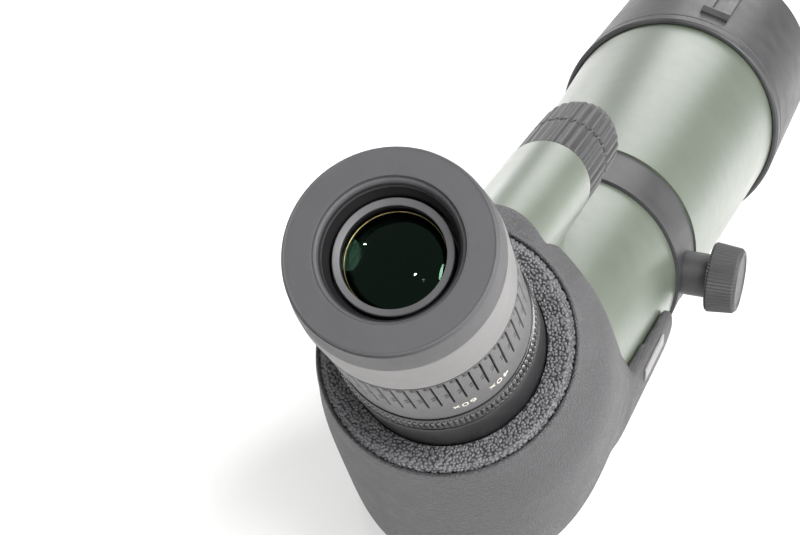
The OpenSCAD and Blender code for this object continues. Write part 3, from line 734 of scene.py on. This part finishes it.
def port_ring():
    """The coarse-moulded ring round the port: a shallow cone with a rounded outer edge."""
    corners = [
        (*PORT_IN, 0.1), (*PORT_CREST, 1.2), (*PORT_OUT, 1.2), (PORT_OUT[0] + 0.1, PORT_FLOOR),
        (PORT_IN[0], PORT_FLOOR),
    ]
    run = outline(corners, 0.17, lambda point: point.y > PORT_FLOOR + 0.8)
    mesh = turned("port_ring_pebbled", run, PORT_COLUMNS, pebble_relief)
    edge = PORT_CREST[0] - PORT_ROUND
    # painted shade in the hollows between the pebbles
    finish = pebbled_rubber("port_rubber_painted_shade", PORT_SLOPE, edge, PORT_FACE - 0.1, PORT_FACE + 0.24)
    piece("port_ring_pebbled", mesh, EYE, finish, "scope_body", "pebble_rubber", "port_ring")


port_ring()

# ---------------------------------------------------------------- armour

ARMOUR_VOXEL = 1.08 * MM
ARMOUR_FRONT = -0.098  # the row's Y, behind which the armour is softened
PORT_EDGE = 36.8  # radius of the armour's edge round the port
KEPT_EDGE = 3  # width beside an edge that stays as it is
EDGE_FADE = 8  # width over which softening then comes in
FEW_STEPS, MANY_STEPS = 12, 160
SOFTENING = 0.6

def soften(mesh, steps, weight):
    """Moves each vertex towards the middle of its neighbours, by its weight, that many times."""
    count = len(mesh.vertices)
    spots = np.empty(count * 3)
    mesh.vertices.foreach_get("co", spots)
    spots = spots.reshape(-1, 3)
    ends = np.empty(len(mesh.edges) * 2, dtype=int)
    mesh.edges.foreach_get("vertices", ends)
    first, second = ends.reshape(-1, 2).T
    near = np.concatenate([second, first])
    here = np.concatenate([first, second])
    share = (SOFTENING * weight(spots) / np.bincount(here, minlength=count))[:, None]
    degree = np.bincount(here, minlength=count)[:, None]
    for _ in range(steps):
        total = np.stack([np.bincount(here, spots[near, axis], count) for axis in range(3)], 1)
        spots = spots + share * (total - degree * spots)
    mesh.vertices.foreach_set("co", spots.ravel())


def distance_in(place, spots, radius, height=None):
    """How far spots are from a circle about a place's axis, or from its cylinder, in millimetres."""
    inverse = np.array(place.inverted())
    local = (spots @ inverse[:3, :3].T + inverse[:3, 3]) / MM
    off = np.hypot(local[:, 0], local[:, 1]) - radius
    return np.abs(off) if height is None else np.hypot(off, local[:, 2] - height)


def armour():
    """The moulded armour: the CAD skin, remeshed evenly and softened, with a rolled lip round the port."""
    rough = bpy.data.objects.new("armour_source", nodes["rear_armour"].data.copy())
    bpy.context.scene.collection.objects.link(rough)
    remesh = rough.modifiers.new("even", "REMESH")
    remesh.mode = "VOXEL"
    remesh.voxel_size = ARMOUR_VOXEL
    remesh.use_smooth_shade = True
    bpy.context.view_layer.update()
    mesh = evaluated_mesh(rough)
    mesh.name = "armour_skin"
    top = reach("port_ring", EYE)[1]
    focus_radius = reach("coarse_focus_knob", FOCUS)[2]

    def far_from_edges(spots):
        port = (distance_in(EYE, spots, PORT_EDGE, top) - KEPT_EDGE) / EDGE_FADE
        front = (ARMOUR_FRONT - spots[:, 1]) / MM / EDGE_FADE
        ear = (distance_in(FOCUS, spots, focus_radius) - KEPT_EDGE) / EDGE_FADE
        return np.clip(np.minimum(np.minimum(port, front), ear), 0, 1)

    soften(mesh, FEW_STEPS, lambda spots: np.ones(len(spots)))
    soften(mesh, MANY_STEPS, far_from_edges)
    piece("armour_skin", mesh, Matrix.Identity(4), FINISHES["armour_rubber"], "scope_body", "armour_rubber",
          "rear_armour")
    corners = [
        (36.45, top - 4.5), (36.45, top - 1.2, 0.3), (37.0, top - 0.35, 0.6), (37.6, top - 0.8, 0.8),
        (38.5, top - 4.5), (37.4, top - 4.6),
    ]
    mesh = turned("port_lip", outline(corners, 0.4), WIDE_COLUMNS)
    piece("port_lip", mesh, EYE, FINISHES["armour_rubber"], "scope_body", "armour_rubber")


armour()

# ---------------------------------------------------------------- focus knobs

KNOB_GROOVES = 28
GROOVE_COLUMNS = 14
GROOVE_DEPTH = 0.75
GROOVE_HALF = 0.62
DIMPLE_DEPTH = 0.9
DIMPLE_HALF = 1.0
SHAFT_BORE = 3.02


def groove_relief(count, radius, split):
    """Round-bottomed grooves along a knob, with a dimple in each where the two knobs meet."""

    def relief(turn, r, z, outward):
        pitch = 2 * math.pi / count
        off = np.abs((turn + pitch / 2) % pitch - pitch / 2) * radius
        groove = GROOVE_DEPTH * bump_at(off, GROOVE_HALF)
        dimple = DIMPLE_DEPTH * bump_at(np.hypot(off, z - split), DIMPLE_HALF)
        return -(groove + dimple) * (r > radius - 4) * np.clip(outward * 3, 0, 1)

    return relief


def focus_knobs():
    """The grooved coarse knob, and the fine knob in front of it, rounded to a shallow dished end."""
    back, split, radius = reach("coarse_focus_knob", FOCUS)
    radius += 0.01
    corners = [
        (SHAFT_BORE, back), (radius - 0.5, back, 0.2), (radius, back + 0.6, 0.3), (radius, split - 0.6, 0.3),
        (radius - 0.5, split, 0.2), (SHAFT_BORE, split),
    ]
    relief = groove_relief(KNOB_GROOVES, radius, split + 0.2)
    mesh = turned("coarse_knob", outline(corners, 0.35), KNOB_GROOVES * GROOVE_COLUMNS, relief)
    piece("coarse_knob", mesh, FOCUS, FINISHES["dark_plastic"], "coarse_focus", "dark_plastic",
          "coarse_focus_knob")
    low, front, radius = reach("fine_focus_knob", FOCUS)
    radius += 0.01
    bore = SHAFT_BORE + 0.04
    corners = [
        (bore, low), (radius - 0.5, low, 0.2), (radius, low + 0.6, 0.3), (radius - 0.3, front - 7, 4.0),
        (11.6, front, 0.5), (9.4, front, 0.2), (9.1, front - 0.5, 0.1), (bore, front - 0.5),
    ]
    relief = groove_relief(KNOB_GROOVES, radius, split + 0.2)
    mesh = turned("fine_knob", outline(corners, 0.35), KNOB_GROOVES * GROOVE_COLUMNS, relief)
    piece("fine_knob", mesh, FOCUS, FINISHES["dark_plastic"], "fine_focus", "dark_plastic", "fine_focus_knob")


focus_knobs()

# ---------------------------------------------------------------- lock knob

KNURLS = 60
KNURL_COLUMNS = 8
KNURL_DEPTH = 0.3
STUD_SEAT = 8.1  # depth of the knob's bore from its bottom


def lock_knob():
    """The knurled lock knob, with a rounded rim and a shallow dished face."""
    bottom, top, radius = reach("lock_knob", LOCK)
    seat = bottom + STUD_SEAT
    corners = [
        (SHAFT_BORE, bottom), (radius - 0.6, bottom, 0.3), (radius, bottom + 0.8, 0.4),
        (radius - 0.9, top - 1.3, 0.5), (radius - 2.1, top, 0.5), (radius - 3.2, top, 0.2),
        (radius - 3.6, top - 0.45, 0.2), (0, top - 0.45), (0, seat), (SHAFT_BORE, seat),
    ]

    def relief(turn, r, z, outward):
        ridge = 0.5 + 0.5 * np.cos(turn * KNURLS)
        return -KNURL_DEPTH * ridge * (r > radius - 1.6) * np.clip((outward - 0.5) * 4, 0, 1)

    mesh = turned("lock_knob_knurled", outline(corners, 0.6), KNURLS * KNURL_COLUMNS, relief)
    piece("lock_knob_knurled", mesh, LOCK, FINISHES["dark_plastic"], "collar_lock", "dark_plastic",
          "lock_knob")


lock_knob()

# ---------------------------------------------------------------- hood

HOOD_LIP_BORE = 48.35
HOOD_WALL = 1.6
HOOD_LIP = 3.0

def sunshade():
    """The sliding hood: a rolled lip at its back, a plain barrel and a rounded front edge."""
    back, front, radius = reach("sunshade", MAIN)
    inside = radius - HOOD_WALL
    corners = [
        (HOOD_LIP_BORE, back, 0.2), (radius - 0.9, back, 0.35), (radius, back + 1.0, 0.5),
        (radius, back + 6.0, 0.1),
        (radius - 0.25, back + 6.2, 0.1), (radius - 0.25, back + 7.2, 0.1), (radius, back + 7.4, 0.1),
        (radius, front - 1.2, 0.6), (radius - 0.6, front, 0.4), (inside, front, 0.2),
        (inside, back + HOOD_LIP), (HOOD_LIP_BORE, back + HOOD_LIP),
    ]
    mesh = turned("hood_shell", outline(corners, 3.0), WIDE_COLUMNS)
    piece("hood_shell", mesh, MAIN, FINISHES["dark_plastic"], "hood", "dark_plastic", "sunshade")


sunshade()

# ---------------------------------------------------------------- stage

CAMERA_SPOT = (0.1064, -0.5542, 0.3630)
CAMERA_TURN = (60.5687, -5.6563, 21.2721)  # degrees about X, Y and Z
CAMERA_LENS = 73.19
EYE_LENS_CURVE = 42  # radius of the eye lens's front face, in millimetres
FLOOR_HALF = 4.0


def camera():
    """The camera, behind and above the eyepiece."""
    lens = bpy.data.cameras.new("camera")
    lens.lens = CAMERA_LENS
    lens.sensor_width = 36.0
    lens.clip_start = 0.01
    eye = bpy.data.objects.new("camera", lens)
    eye.location = CAMERA_SPOT
    eye.rotation_euler = Euler([math.radians(a) for a in CAMERA_TURN])
    bpy.context.scene.collection.objects.link(eye)
    bpy.context.scene.camera = eye


LIGHTS = {  # degrees round from +X, degrees up, watts
    "key_high": (-45, 50, 33),
    "key_low": (-45, 20, 9),
    "right": (24, 20, 17),
    "back_left_low": (135, 20, 9.5),
    "back_left_high": (135, 50, 5),
    "back_low": (90, 20, 3.2),
    "back_high": (90, 50, 2.6),
}
LIGHT_DISTANCE = 1.5
LIGHT_SIZE = 0.7
AIM = Vector((0, -0.06, 0.08))
WORLD_STRENGTH = 0.4


def soft_light(name, turn, rise, power):
    """A round soft light that looks at the object."""
    lamp = bpy.data.lights.new(name, "AREA")
    lamp.shape = "DISK"
    lamp.size = LIGHT_SIZE
    lamp.energy = power
    turn, rise = math.radians(turn), math.radians(rise)
    away = Vector((math.cos(turn) * math.cos(rise), math.sin(turn) * math.cos(rise), math.sin(rise)))
    holder = bpy.data.objects.new(name, lamp)
    holder.location = AIM + away * LIGHT_DISTANCE
    holder.rotation_euler = away.to_track_quat("Z", "Y").to_euler()
    bpy.context.scene.collection.objects.link(holder)


# where the eye lens mirrors a small lamp, in millimetres from the lens's middle
GLINTS = ((-8.43, 1.88), (5.91, -2.06))
GLINT_POWER = 1.2
GLINT_SIZE = 0.03


def glints():
    """Two small lamps, each put where the front of the eye lens mirrors it into the camera."""
    pole = reach("eye_lens", EYE)[1]
    inverse = EYE.inverted()
    camera_spot = inverse @ Vector(CAMERA_SPOT)
    centre = Vector((0, 0, pole - EYE_LENS_CURVE)) * MM
    for k, (x, y) in enumerate(GLINTS):
        rise = math.sqrt(EYE_LENS_CURVE ** 2 - x * x - y * y)
        spot = centre + Vector((x, y, rise)) * MM
        normal = (spot - centre).normalized()
        ray = (spot - camera_spot).normalized()
        mirrored = ray - 2 * ray.dot(normal) * normal
        lamp = bpy.data.lights.new(f"glint_{k}", "AREA")
        lamp.shape = "DISK"
        lamp.size = GLINT_SIZE
        lamp.energy = GLINT_POWER
        holder = bpy.data.objects.new(f"glint_{k}", lamp)
        holder.location = EYE @ (spot + mirrored)
        holder.rotation_euler = (-(EYE.to_3x3() @ mirrored)).to_track_quat("-Z", "Y").to_euler()
        bpy.context.scene.collection.objects.link(holder)


def stage():
    """The pale floor, the even white world and the soft lights."""
    floor = bpy.data.meshes.new("floor")
    corners = [(x * FLOOR_HALF, y * FLOOR_HALF, 0) for x, y in ((-1, -1), (1, -1), (1, 1), (-1, 1))]
    floor.from_pydata(corners, [], [(0, 1, 2, 3)])
    ground = bpy.data.objects.new("floor", floor)
    floor.materials.append(floor_paint())
    bpy.context.scene.collection.objects.link(ground)
    world = bpy.data.worlds.new("world")
    world.use_nodes = True
    world.node_tree.nodes["Background"].inputs["Color"].default_value = (1, 1, 1, 1)
    world.node_tree.nodes["Background"].inputs["Strength"].default_value = WORLD_STRENGTH
    bpy.context.scene.world = world
    bpy.context.scene.view_settings.view_transform = "Standard"
    for name, values in LIGHTS.items():
        soft_light(name, *values)


camera()
stage()
glints()
